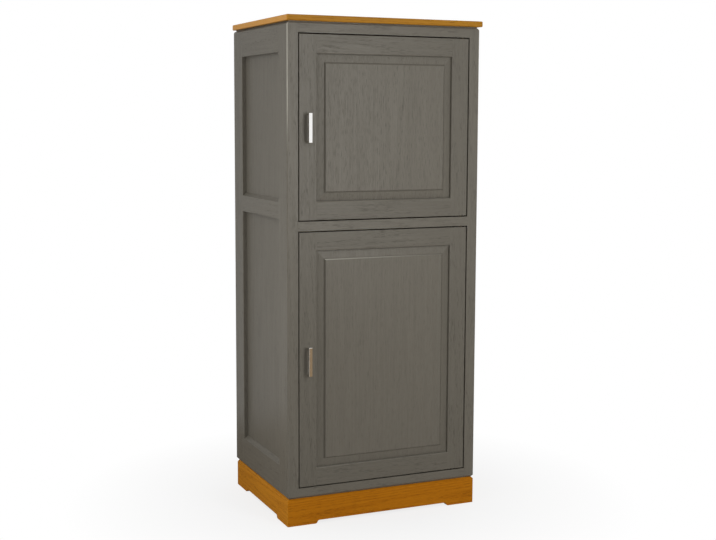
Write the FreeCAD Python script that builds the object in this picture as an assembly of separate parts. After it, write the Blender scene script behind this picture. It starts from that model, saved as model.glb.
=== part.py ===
import FreeCAD
import Part
import math
import os

# A tall painted cupboard with two inset doors, a honey oak top board and a bracket-foot plinth.
# Millimetres. X runs right along the front, Y runs from the front to the back, Z runs up.
# The origin is on the floor, under the middle of the outline.

# Heights, from the floor up
plinth_height = 99.0
bottom_rail_height = 37.5
lower_door_height = 912.5
middle_rail_height = 34.0
upper_door_height = 643.5
top_rail_height = 39.0
top_board_thickness = 20.5

# Front frame and carcass
door_width = 660.0
door_gap = 4.0
front_stile_width = 41.0
frame_thickness = 28.0
carcass_depth = 580.0
corner_radius = 4.0
crown_radius = 10.0
crown_neck = 4.0
foot_chamfer = 8.0

# Side frames
side_front_stile_width = 88.0
side_back_stile_width = 96.0
side_top_rail_height = 103.5
side_middle_rail_height = 72.0
side_bottom_rail_height = 118.5
side_panel_recess = 15.0
side_panel_thickness = 8.0
side_sill_drop = 12.0

# Back frame
back_rail_height = 90.0
back_rail_thickness = 22.0
back_panel_recess = 7.0
back_panel_thickness = 8.0
wall_hole_spacing = 400.0
wall_hole_radius = 2.5

# Top board
top_side_overhang = 5.0
top_front_overhang = 15.0
top_edge_radius = 4.0

# Fixed boards and loose shelves
floor_thickness = 18.0
divider_thickness = 22.0
roof_thickness = 18.0
housing_depth = 7.0
shelf_thickness = 20.0
shelf_front_setback = 46.0
shelf_side_play = 1.0
shelf_back_play = 2.0
upper_shelf_rise = 330.0
lower_shelf_low_rise = 285.0
lower_shelf_high_rise = 595.0

# Shelf pins and their rows of holes
pin_radius = 2.5
pin_depth = 10.0
pin_reach = 9.0
pin_collar_radius = 4.0
pin_collar_thickness = 1.5
pin_hole_depth = 12.0
pin_hole_pitch = 32.0
pin_holes_each_way = 2

# Plinth
plinth_thickness = 22.0
plinth_back_setback = 10.0
plinth_chamfer = 7.0
plinth_corner_radius = 4.0
foot_length = 106.0
foot_ogee_run = 16.0
foot_rise = 12.0
corner_block_side = 36.0

# Doors
door_thickness = 22.0
door_member_width = 67.0
door_edge_chamfer = 1.0
door_tenon_length = 40.0
door_tenon_shoulder = 14.0
field_recess = 1.5
field_inset = 33.0
shoulder_run = 5.5
shoulder_height = 5.5
bevel_height = 3.0
door_opening_radius = 4.0
tongue_thickness = 7.5

# Joinery
tenon_thickness = 10.0
door_tenon_thickness = 7.0
side_tenon_length = 25.0
side_tenon_shoulder = 13.0
front_tenon_shoulder = 8.0
back_tenon_length = 15.0
mortise_end_space = 1.0
groove_depth = 9.0
panel_float = 1.0
glue_line = 0.1
running_clearance = 0.05
side_opening_chamfer = 1.5

# Hidden pivot hinges
pivot_inset = 20.0
pivot_pin_radius = 3.0
pivot_pin_depth = 9.0
pivot_bore_clearance = 1.0
pivot_boss_radius = 5.0
pivot_play = 0.2
leaf_length = 52.0
leaf_width = 14.0
leaf_thickness = 3.0
leaf_lead = 12.0
leaf_screw_inset = 6.0
leaf_screw_spacing = 15.0

# Countersunk wood screws
screw_head_radius = 3.4
screw_head_height = 1.8
screw_shank_radius = 1.6
screw_length = 11.0
top_screw_length = 34.0
screw_tip_length = 3.0
screw_slot_width = 0.8
screw_slot_depth = 0.6
screw_slot_length = 10.0
screw_clearance = 0.05
top_screw_inset = 70.0

# Bow handles and their machine screws
handle_hole_spacing = 96.0
handle_bar_thickness = 7.0
handle_width = 12.0
handle_projection = 28.0
handle_bend_radius = 1.2
handle_inner_radius = 2.5
handle_edge_radius = 1.0
handle_inset = 32.5
handle_thread_depth = 12.0
handle_thread_spare = 1.0
handle_screw_radius = 2.0
handle_screw_head_radius = 4.0
handle_screw_head_height = 2.5
handle_screw_clearance = 0.25

# Magnetic catches and strike plates
catch_width = 30.0
catch_depth = 20.0
catch_height = 14.0
catch_edge_radius = 1.5
catch_flange_width = 52.0
catch_flange_thickness = 3.0
catch_play = 0.3
strike_width = 30.0
strike_height = 12.0
strike_thickness = 1.2
strike_rise = 1.5

# Distance within which two points count as one
same_place = 0.001

# Places that follow from the sizes
Vector = FreeCAD.Vector
UP = Vector(0, 0, 1)
BACKWARD = Vector(0, 1, 0)
RIGHTWARD = Vector(1, 0, 0)

carcass_width = door_width + 2 * (front_stile_width + door_gap)
left_x = -carcass_width / 2
right_x = carcass_width / 2
front_y = (handle_projection - carcass_depth) / 2
back_y = front_y + carcass_depth
inner_x = (left_x + frame_thickness, right_x - frame_thickness)
inner_y = (front_y + frame_thickness, back_y - back_rail_thickness)

bottom_rail_z = (plinth_height, plinth_height + bottom_rail_height)
lower_door_z = (bottom_rail_z[1] + door_gap, bottom_rail_z[1] + door_gap + lower_door_height)
middle_rail_z = (lower_door_z[1] + door_gap, lower_door_z[1] + door_gap + middle_rail_height)
upper_door_z = (middle_rail_z[1] + door_gap, middle_rail_z[1] + door_gap + upper_door_height)
top_rail_z = (upper_door_z[1] + door_gap, upper_door_z[1] + door_gap + top_rail_height)
carcass_z = (plinth_height, top_rail_z[1])
top_board_z = (carcass_z[1], carcass_z[1] + top_board_thickness)

floor_z = (bottom_rail_z[1] - floor_thickness, bottom_rail_z[1])
divider_z = (middle_rail_z[1] - divider_thickness, middle_rail_z[1])
roof_z = (carcass_z[1] - roof_thickness, carcass_z[1])

door_x = (-door_width / 2, door_width / 2)
door_back_y = front_y + door_thickness
pivot_x = door_x[1] - pivot_inset
pivot_y = front_y + door_thickness / 2

parts = {}


def block(x, y, z):
    """A rectangular solid that fills the spans x, y and z."""
    return Part.makeBox(x[1] - x[0], y[1] - y[0], z[1] - z[0], Vector(x[0], y[0], z[0]))


def widen(span, amount):
    """The span made longer by amount at both ends."""
    return (span[0] - amount, span[1] + amount)


def around(middle, width):
    """The span of this width about its middle."""
    return (middle - width / 2, middle + width / 2)


def ordered(first, second):
    """The span between two values given in either order."""
    return (min(first, second), max(first, second))


def middle(span):
    """The value half way along a span."""
    return (span[0] + span[1]) / 2


def rod(start, direction, radius, length):
    """A round bar."""
    return Part.makeCylinder(radius, length, start, direction)


def prism(outline, path):
    """A solid swept straight along path from the corners of a flat outline."""
    return Part.Face(Part.makePolygon(outline + outline[:1])).extrude(path)


def taper(outline, other_outline):
    """A flat-sided solid between two parallel outlines."""
    loops = [Part.makePolygon(corners + corners[:1]) for corners in (outline, other_outline)]
    return Part.makeLoft(loops, True, True)


def level_rectangle(x, y, z):
    """Corners of a rectangle lying at height z."""
    return [Vector(x[0], y[0], z), Vector(x[1], y[0], z), Vector(x[1], y[1], z), Vector(x[0], y[1], z)]


def front_rectangle(x, y, z):
    """Corners of an upright rectangle at depth y, facing the front."""
    return [Vector(x[0], y, z[0]), Vector(x[1], y, z[0]), Vector(x[1], y, z[1]), Vector(x[0], y, z[1])]


def side_rectangle(x, y, z):
    """Corners of an upright rectangle at x, facing the side."""
    return [Vector(x, y[0], z[0]), Vector(x, y[1], z[0]), Vector(x, y[1], z[1]), Vector(x, y[0], z[1])]


def joined(first, *others):
    """Several touching solids as one solid with no seams in its faces."""
    return first.fuse(list(others)).removeSplitter()


def mirrored(shape):
    """The same piece on the other side of the middle plane."""
    return shape.mirror(Vector(0, 0, 0), RIGHTWARD)


def edges_at(shape, x=None, y=None, z=None):
    """The edges whose two ends both have the given coordinates."""

    def fits(point):
        wanted = ((x, point.X), (y, point.Y), (z, point.Z))
        return all(value is None or abs(value - found) < same_place for value, found in wanted)

    return [edge for edge in shape.Edges if all(fits(point) for point in edge.Vertexes)]


def ends(x, y, z, along, length):
    """The two blocks that make a bar longer at both ends of its X or Y span."""
    if along == "x":
        return [block((x[0] - length, x[0]), y, z), block((x[1], x[1] + length), y, z)]
    return [block(x, (y[0] - length, y[0]), z), block(x, (y[1], y[1] + length), z)]


def rail(x, y, z, along, length, thickness, shoulder):
    """A rail with a centred tenon on both ends, and the two mortises that take the tenons."""
    tenon_z = widen(z, -shoulder)
    tenon_x = x
    tenon_y = y
    spare_x = x
    spare_y = y
    if along == "x":
        tenon_y = around(middle(y), thickness)
        spare_y = widen(tenon_y, glue_line)
    else:
        tenon_x = around(middle(x), thickness)
        spare_x = widen(tenon_x, glue_line)
    tenons = ends(tenon_x, tenon_y, tenon_z, along, length)
    mortises = ends(spare_x, spare_y, widen(tenon_z, glue_line), along, length + mortise_end_space)
    return joined(block(x, y, z), *tenons), mortises


def screw(head, direction, length):
    """A slotted countersunk wood screw with its flat head at the point head."""
    slot_y = screw_slot_width
    slot_z = 2 * screw_slot_depth
    if abs(direction.y) > abs(direction.z):
        slot_y, slot_z = slot_z, slot_y
    slot_x = around(head.x, screw_slot_length)
    slot = block(slot_x, around(head.y, slot_y), around(head.z, slot_z))
    return screw_hole(head, direction, length, 0.0).cut(slot)


def screw_hole(head, direction, length, clearance=screw_clearance):
    """The countersunk hole that takes such a screw."""
    radius = screw_shank_radius + clearance
    head_radius = screw_head_radius + clearance
    tip = head + direction * (length - screw_tip_length)
    cone = Part.makeCone(head_radius, radius, screw_head_height, head, direction)
    shank = rod(head, direction, radius, length - screw_tip_length)
    point = Part.makeCone(radius, clearance, screw_tip_length, tip, direction)
    return joined(cone, shank, point)


# Outer bodies that give the carcass and the plinth their chamfered edges
def carcass_body():
    """The carcass as one block, with a chamfered foot and a neck above its rounded top edges."""
    x = (left_x, right_x)
    y = (front_y, back_y)
    foot_x = widen(x, -foot_chamfer)
    foot_y = (front_y + foot_chamfer, back_y)
    neck_x = widen(x, -crown_radius)
    neck_y = (front_y + corner_radius, back_y)
    foot_top = carcass_z[0] + foot_chamfer
    crown_top = carcass_z[1] - crown_neck
    foot = taper(level_rectangle(foot_x, foot_y, carcass_z[0]), level_rectangle(x, y, foot_top))
    trunk = block(x, y, (foot_top, crown_top))
    trunk = trunk.makeFillet(crown_radius, [edge for side in x for edge in edges_at(trunk, x=side, z=crown_top)])
    trunk = trunk.makeFillet(corner_radius, edges_at(trunk, y=front_y, z=crown_top))
    neck = block(neck_x, neck_y, (crown_top, carcass_z[1]))
    return joined(trunk, foot, neck)


def plinth_body():
    """The plinth as one block, chamfered round its top on the front and sides."""
    x = (left_x, right_x)
    y = (front_y, back_y - plinth_back_setback)
    top_x = widen(x, -plinth_chamfer)
    top_y = (front_y + plinth_chamfer, y[1])
    chamfer_bottom = plinth_height - plinth_chamfer
    top = taper(level_rectangle(x, y, chamfer_bottom), level_rectangle(top_x, top_y, plinth_height))
    return joined(block(x, y, (0.0, chamfer_bottom)), top)


def mitre_waste(z, thickness, keep):
    """The half of the front left corner that the mitre takes from the front or the side piece."""
    corner = Vector(left_x, front_y, z[0])
    inside = Vector(left_x + thickness, front_y + thickness, z[0])
    if keep == "front":
        far = Vector(left_x, front_y + thickness, z[0])
    else:
        far = Vector(left_x + thickness, front_y, z[0])
    return prism([corner, inside, far], UP * (z[1] - z[0]))


def corner_piece(x, y, z, radius, thickness, keep):
    """An upright at the front left corner, with the corner eased and the mitre cut."""
    piece = block(x, y, z)
    piece = piece.makeFillet(radius, edges_at(piece, x=left_x, y=front_y))
    return piece.cut(mitre_waste(z, thickness, keep))


# Hidden pivot hinges
def pivot(rail_face, door_edge):
    """One pivot: its two leaves and their screws, and the cuts that let them into the wood."""
    way = UP if door_edge > rail_face else UP * -1
    toward_door = 1 if door_edge > rail_face else -1
    leaf_x = (pivot_x + leaf_lead - leaf_length, pivot_x + leaf_lead)
    leaf_y = around(pivot_y, leaf_width)
    frame_z = ordered(rail_face, rail_face - toward_door * leaf_thickness)
    door_z = ordered(door_edge, door_edge + toward_door * leaf_thickness)
    foot = Vector(pivot_x, pivot_y, rail_face)
    mouth = Vector(pivot_x, pivot_y, door_edge)
    screw_x = [leaf_x[0] + leaf_screw_inset, leaf_x[0] + leaf_screw_inset + leaf_screw_spacing]
    frame_heads = [Vector(x, pivot_y, rail_face) for x in screw_x]
    door_heads = [Vector(x, pivot_y, door_edge) for x in screw_x]

    boss = rod(foot, way, pivot_boss_radius, door_gap - pivot_play)
    pin = rod(foot, way, pivot_pin_radius, door_gap + pivot_pin_depth)
    frame_holes = [screw_hole(head, way * -1, screw_length) for head in frame_heads]
    door_holes = [screw_hole(head, way, screw_length) for head in door_heads]
    bush = rod(mouth, way, pivot_pin_radius + running_clearance, leaf_thickness)
    bore = rod(mouth, way, pivot_pin_radius + pivot_bore_clearance, pivot_pin_depth + pivot_bore_clearance)
    recess_x = widen(leaf_x, glue_line)
    recess_y = widen(leaf_y, glue_line)
    return {
        "frame_leaf": joined(block(leaf_x, leaf_y, frame_z), boss, pin).cut(frame_holes),
        "door_leaf": block(leaf_x, leaf_y, door_z).cut([bush] + door_holes),
        "frame_screws": [screw(head, way * -1, screw_length) for head in frame_heads],
        "door_screws": [screw(head, way, screw_length) for head in door_heads],
        "frame_cuts": [block(recess_x, recess_y, frame_z)] + frame_holes,
        "door_cuts": [block(recess_x, recess_y, door_z), bore] + door_holes,
    }


lower_door_pivots = [pivot(bottom_rail_z[1], lower_door_z[0]), pivot(middle_rail_z[0], lower_door_z[1])]
upper_door_pivots = [pivot(middle_rail_z[1], upper_door_z[0]), pivot(top_rail_z[0], upper_door_z[1])]


# Magnetic catches, which also stop the doors
catch_x = door_x[0] + door_member_width / 2
catch_y = (door_back_y + strike_thickness + catch_play, door_back_y + strike_thickness + catch_play + catch_depth)


def catch(door_z):
    """A catch on the board below a door: its housing, its screws and their holes."""
    base = door_z[0] - door_gap
    body = block(around(catch_x, catch_width), catch_y, (base, base + catch_height))
    top_edges = edges_at(body, z=base + catch_height)
    body = body.makeFillet(catch_edge_radius, top_edges)
    flange_z = (base, base + catch_flange_thickness)
    flange = block(around(catch_x, catch_flange_width), catch_y, flange_z)
    screw_offset = (catch_flange_width + catch_width) / 4
    heads = [Vector(catch_x + side * screw_offset, middle(catch_y), flange_z[1]) for side in (-1, 1)]
    holes = [screw_hole(head, UP * -1, screw_length) for head in heads]
    return {
        "housing": joined(flange, body).cut(holes),
        "screws": [screw(head, UP * -1, screw_length) for head in heads],
        "holes": holes,
    }


lower_catch = catch(lower_door_z)
upper_catch = catch(upper_door_z)


# Front frame
def front_frame():
    """Two mitred stiles and three rails round the two doorways."""
    body = carcass_body()
    frame_y = (front_y, front_y + frame_thickness)
    rail_x = (left_x + front_stile_width, right_x - front_stile_width)
    tenon_length = front_stile_width - frame_thickness
    rows = {
        "front_bottom_rail": (bottom_rail_z, [lower_door_pivots[0]]),
        "front_middle_rail": (middle_rail_z, [lower_door_pivots[1], upper_door_pivots[0]]),
        "front_top_rail": (top_rail_z, [upper_door_pivots[1]]),
    }
    mortises = []
    for name, (rail_z, pivots) in rows.items():
        wood, sockets = rail(rail_x, frame_y, rail_z, "x", tenon_length, tenon_thickness, front_tenon_shoulder)
        cuts = [cut for leaf in pivots for cut in leaf["frame_cuts"]]
        parts[name] = wood.common(body).cut(cuts)
        mortises += sockets
    stile_x = (left_x, left_x + front_stile_width)
    stile = corner_piece(stile_x, frame_y, carcass_z, corner_radius, frame_thickness, "front")
    stile = stile.common(body).cut(mortises)
    parts["front_left_stile"] = stile
    parts["front_right_stile"] = mirrored(stile)


# Fixed boards, with the housings that hold them in the side frames
ear_spans_y = [
    (inner_y[0], front_y + side_front_stile_width - groove_depth),
    (back_y - side_back_stile_width + groove_depth, back_y - back_panel_recess - back_panel_thickness),
]


def divider_ears(x):
    """The corners of the divider that enter the side stiles, for one side's span x."""
    return [block(x, y, divider_z) for y in ear_spans_y]


def fixed_boards():
    """Floor, divider and roof."""
    wide_x = widen(inner_x, housing_depth)
    divider_y = (inner_y[0], ear_spans_y[1][1])
    left_ears = divider_ears((wide_x[0], inner_x[0]))
    right_ears = divider_ears((inner_x[1], wide_x[1]))
    divider = joined(block(inner_x, divider_y, divider_z), *left_ears, *right_ears)
    roof = block(wide_x, inner_y, roof_z)
    parts["floor_panel"] = block(wide_x, inner_y, floor_z).cut(lower_catch["holes"])
    parts["divider_panel"] = divider.cut(upper_catch["holes"])
    parts["roof_panel"] = roof.cut([screw_hole(head, UP, top_screw_length) for head in top_screw_heads])


def left_housings():
    """The cuts in the left side frame that take the fixed boards."""
    x = (inner_x[0] - housing_depth, inner_x[0])
    return [block(x, inner_y, floor_z), block(x, inner_y, roof_z)] + divider_ears(x)


# Top board and its screws
top_screw_heads = [
    Vector(x, y, roof_z[0])
    for x in (inner_x[0] + top_screw_inset, 0.0, inner_x[1] - top_screw_inset)
    for y in (inner_y[0] + top_screw_inset, inner_y[1] - top_screw_inset)
]


def top():
    """The honey oak board, eased on its front and ends, and the screws that hold it."""
    x = (left_x - top_side_overhang, right_x + top_side_overhang)
    board = block(x, (front_y - top_front_overhang, back_y), top_board_z)
    back_edges = edges_at(board, y=back_y)
    eased = [edge for edge in board.Edges if not any(edge.isSame(other) for other in back_edges)]
    board = board.makeFillet(top_edge_radius, eased)
    parts["top_board"] = board.cut([screw_hole(head, UP, top_screw_length) for head in top_screw_heads])
    screws = [screw(head, UP, top_screw_length) for head in top_screw_heads]
    parts["top_board_screws"] = Part.makeCompound(screws)


# Loose shelves, their pins and the rows of holes
pin_rows_y = [
    middle((inner_y[0], front_y + side_front_stile_width)),
    middle((back_y - side_back_stile_width, inner_y[1])),
]
shelf_bottoms = {
    "upper_shelf": divider_z[1] + upper_shelf_rise,
    "lower_shelf_high": floor_z[1] + lower_shelf_high_rise,
    "lower_shelf_low": floor_z[1] + lower_shelf_low_rise,
}


def shelves():
    """Three shelves that rest on four pins each."""
    x = widen(inner_x, -shelf_side_play)
    y = (front_y + shelf_front_setback, inner_y[1] - shelf_back_play)
    pins = []
    for name, bottom in shelf_bottoms.items():
        parts[name] = block(x, y, (bottom, bottom + shelf_thickness))
        for row_y in pin_rows_y:
            wall = Vector(inner_x[0], row_y, bottom - pin_radius)
            shank = rod(wall - RIGHTWARD * pin_depth, RIGHTWARD, pin_radius, pin_depth + pin_reach)
            collar = rod(wall, RIGHTWARD, pin_collar_radius, pin_collar_thickness)
            collar = collar.cut(block(x, y, (bottom, bottom + shelf_thickness)))
            pin = joined(shank, collar)
            pins += [pin, mirrored(pin)]
    parts["shelf_pins"] = Part.makeCompound(pins)


def left_pin_holes(row_y):
    """The rows of shelf pin holes in one left stile."""
    holes = []
    for bottom in shelf_bottoms.values():
        for step in range(-pin_holes_each_way, pin_holes_each_way + 1):
            mouth = Vector(inner_x[0], row_y, bottom - pin_radius + step * pin_hole_pitch)
            hole = rod(mouth, RIGHTWARD * -1, pin_radius + running_clearance, pin_hole_depth)
            holes.append(hole)
    return holes


# Side and back frames
def side_and_back_frames():
    """Both sides as frames with two flat panels, and the back between them."""
    body = carcass_body()
    side_x = (left_x, inner_x[0])
    opening_y = (front_y + side_front_stile_width, back_y - side_back_stile_width)
    panel_x = (left_x + side_panel_recess, left_x + side_panel_recess + side_panel_thickness)
    rails_z = {
        "bottom_rail": (carcass_z[0], carcass_z[0] + side_bottom_rail_height),
        "middle_rail": (upper_door_z[0], upper_door_z[0] + side_middle_rail_height),
        "top_rail": (carcass_z[1] - side_top_rail_height, carcass_z[1]),
    }
    openings_z = {
        "lower_panel": (rails_z["bottom_rail"][1], rails_z["middle_rail"][0]),
        "upper_panel": (rails_z["middle_rail"][1], rails_z["top_rail"][0]),
    }
    pieces = {}
    grooves = []
    for name, opening_z in openings_z.items():
        reach = groove_depth - panel_float
        pieces[name] = block(panel_x, widen(opening_y, reach), widen(opening_z, reach))
        groove_x = widen(panel_x, glue_line)
        grooves.append(block(groove_x, widen(opening_y, groove_depth), widen(opening_z, groove_depth)))
        eased = side_opening_chamfer
        outer = side_rectangle(left_x, widen(opening_y, eased), widen(opening_z, eased))
        grooves.append(taper(outer, side_rectangle(left_x + eased, opening_y, opening_z)))
        sill = [
            Vector(left_x, opening_y[0], opening_z[0]),
            Vector(left_x, opening_y[0], opening_z[0] - side_sill_drop),
            Vector(panel_x[0], opening_y[0], opening_z[0]),
        ]
        grooves.append(prism(sill, BACKWARD * (opening_y[1] - opening_y[0])))
    housings = left_housings()
    mortises = []
    for name, rail_z in rails_z.items():
        wood, sockets = rail(
            side_x, opening_y, rail_z, "y", side_tenon_length, tenon_thickness, side_tenon_shoulder)
        pieces[name] = wood.common(body).cut(grooves + housings)
        mortises += sockets

    back_mortises, back_groove = back_frame()
    front_stile_y = (front_y, opening_y[0])
    front_stile = corner_piece(side_x, front_stile_y, carcass_z, corner_radius, frame_thickness, "side")
    back_stile = block(side_x, (opening_y[1], back_y), carcass_z)
    cuts = grooves + housings + mortises
    pieces["front_stile"] = front_stile.common(body).cut(cuts + left_pin_holes(pin_rows_y[0]))
    back_cuts = cuts + left_pin_holes(pin_rows_y[1]) + back_mortises + [back_groove]
    pieces["back_stile"] = back_stile.common(body).cut(back_cuts)
    for name, piece in pieces.items():
        parts["left_" + name] = piece
        parts["right_" + name] = mirrored(piece)


def back_frame():
    """Two back rails and the back panel, and the cuts that take them in the back stiles."""
    y = (inner_y[1], back_y)
    panel_y = (back_y - back_panel_recess - back_panel_thickness, back_y - back_panel_recess)
    rails_z = {
        "back_bottom_rail": (carcass_z[0], carcass_z[0] + back_rail_height),
        "back_top_rail": (carcass_z[1] - back_rail_height, carcass_z[1]),
    }
    opening_z = (rails_z["back_bottom_rail"][1], rails_z["back_top_rail"][0])
    reach = groove_depth - panel_float
    parts["back_panel"] = block(widen(inner_x, reach), panel_y, widen(opening_z, reach))
    groove_y = widen(panel_y, glue_line)
    groove = block(widen(inner_x, groove_depth), groove_y, widen(opening_z, groove_depth))
    hole_z = middle(rails_z["back_top_rail"])
    hole_starts = [Vector(x, y[0], hole_z) for x in around(0.0, wall_hole_spacing)]
    holes = [rod(start, BACKWARD, wall_hole_radius, back_rail_thickness) for start in hole_starts]
    mortises = []
    for name, rail_z in rails_z.items():
        wood, sockets = rail(
            inner_x, y, rail_z, "x", back_tenon_length, tenon_thickness, side_tenon_shoulder)
        parts[name] = wood.cut([groove] + holes)
        mortises += sockets
    return mortises, groove


# Plinth
def foot_cutout(place, length, path):
    """The low arch between two bracket feet, along a board of this length.

    The outline is drawn in distance along the board and height, and place turns it into points.
    Each foot runs into the arch in an ogee of two equal arcs.
    """
    radius = (foot_ogee_run ** 2 + foot_rise ** 2) / (4 * foot_rise)
    half_turn = math.asin(foot_ogee_run / 2 / radius) / 2
    near_along = radius * math.sin(half_turn)
    near_up = radius * (1 - math.cos(half_turn))

    def ogee(start, way):
        low = [(0, 0), (near_along, near_up), (foot_ogee_run / 2, foot_rise / 2)]
        high = [(foot_ogee_run - along, foot_rise - up) for along, up in reversed(low)]
        return [[place(start + way * along, up) for along, up in arc] for arc in (low, high)]

    left = ogee(foot_length, 1)
    right = ogee(length - foot_length, -1)
    arcs = [Part.Arc(*points).toShape() for points in left + right]
    corners = [left[0][0], right[0][0], right[1][2], left[1][2]]
    lines = [Part.makeLine(corners[0], corners[1]), Part.makeLine(corners[2], corners[3])]
    outline = Part.Wire(Part.__sortEdges__(arcs + lines))
    return Part.Face(outline).extrude(path)


def plinth():
    """Four boards mitred at the front corners, with feet cut in the three that show."""
    body = plinth_body()
    z = (0.0, plinth_height)
    plinth_back = back_y - plinth_back_setback
    side_x = (left_x, left_x + plinth_thickness)
    board_y = (front_y, front_y + plinth_thickness)

    front = corner_piece((left_x, 0.0), board_y, z, plinth_corner_radius, plinth_thickness, "front")
    front = joined(front, mirrored(front)).common(body)
    front_arch = foot_cutout(
        lambda along, up: Vector(left_x + along, front_y, up), carcass_width, BACKWARD * plinth_thickness)
    parts["plinth_front"] = front.cut(front_arch)

    side_y = (front_y, plinth_back)
    side = corner_piece(side_x, side_y, z, plinth_corner_radius, plinth_thickness, "side").common(body)
    side_arch = foot_cutout(
        lambda along, up: Vector(left_x, front_y + along, up), plinth_back - front_y,
        RIGHTWARD * plinth_thickness)
    parts["plinth_left"] = side.cut(side_arch)
    parts["plinth_right"] = mirrored(parts["plinth_left"])

    back_x = (left_x + plinth_thickness, right_x - plinth_thickness)
    back_board_y = (plinth_back - plinth_thickness, plinth_back)
    parts["plinth_back"] = block(back_x, back_board_y, (foot_rise, plinth_height))

    block_x = (side_x[1], side_x[1] + corner_block_side)
    block_z = (foot_rise, plinth_height)
    front_block = block(block_x, (board_y[1], board_y[1] + corner_block_side), block_z)
    back_block = block(block_x, (back_board_y[0] - corner_block_side, back_board_y[0]), block_z)
    blocks = [front_block, back_block, mirrored(front_block), mirrored(back_block)]
    parts["plinth_corner_blocks"] = Part.makeCompound(blocks)


# Doors
def raised_panel(opening_x, opening_z):
    """A fielded panel: a tongue in the frame's groove, a bevel, a steep shoulder and a flat field."""
    field_y = front_y + field_recess
    shoulder_y = field_y + shoulder_height
    tongue_y = shoulder_y + bevel_height
    reach = groove_depth - panel_float
    field_x = widen(opening_x, -field_inset)
    field_z = widen(opening_z, -field_inset)
    shoulder_x = widen(field_x, shoulder_run)
    shoulder_z = widen(field_z, shoulder_run)
    tongue_span_y = (tongue_y, tongue_y + tongue_thickness)
    tongue = block(widen(opening_x, reach), tongue_span_y, widen(opening_z, reach))
    bevel = taper(
        front_rectangle(opening_x, tongue_y, opening_z), front_rectangle(shoulder_x, shoulder_y, shoulder_z))
    shoulder = taper(
        front_rectangle(shoulder_x, shoulder_y, shoulder_z), front_rectangle(field_x, field_y, field_z))
    groove_x = widen(opening_x, groove_depth)
    groove_z = widen(opening_z, groove_depth)
    groove = block(groove_x, widen(tongue_span_y, glue_line), groove_z)
    return joined(tongue, bevel, shoulder), groove


def rounding_waste(body, opening_x, opening_z):
    """What comes off a door's frame when the front edges round its opening are rounded."""
    frame = body.cut(block(opening_x, (front_y, door_back_y), opening_z))
    edges = [edge for x in opening_x for edge in edges_at(frame, x=x, y=front_y)]
    edges += [edge for z in opening_z for edge in edges_at(frame, y=front_y, z=z)]
    return frame.cut(frame.makeFillet(door_opening_radius, edges))


def bow_handle(x, z):
    """A flat bow with rounded bends, tapped in both legs, standing on the door at x and height z."""
    length = handle_hole_spacing + handle_bar_thickness
    front = front_y - handle_projection
    outer = block(around(x, handle_width), (front, front_y), around(z, length))
    bends = edges_at(outer, y=front, z=z - length / 2) + edges_at(outer, y=front, z=z + length / 2)
    outer = outer.makeFillet(handle_bend_radius, bends)
    sides = [edge for side in around(x, handle_width) for edge in edges_at(outer, x=side)]
    rims = [edge for edge in sides if edge.CenterOfMass.y < front_y - handle_edge_radius]
    outer = outer.makeFillet(handle_edge_radius, rims)
    gap_z = around(z, handle_hole_spacing - handle_bar_thickness)
    gap_front = front + handle_bar_thickness
    gap = block(around(x, handle_width), (gap_front, front_y), gap_z)
    corners = edges_at(gap, y=gap_front, z=gap_z[0]) + edges_at(gap, y=gap_front, z=gap_z[1])
    gap = gap.makeFillet(handle_inner_radius, corners)
    return outer.cut(gap)


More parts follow.
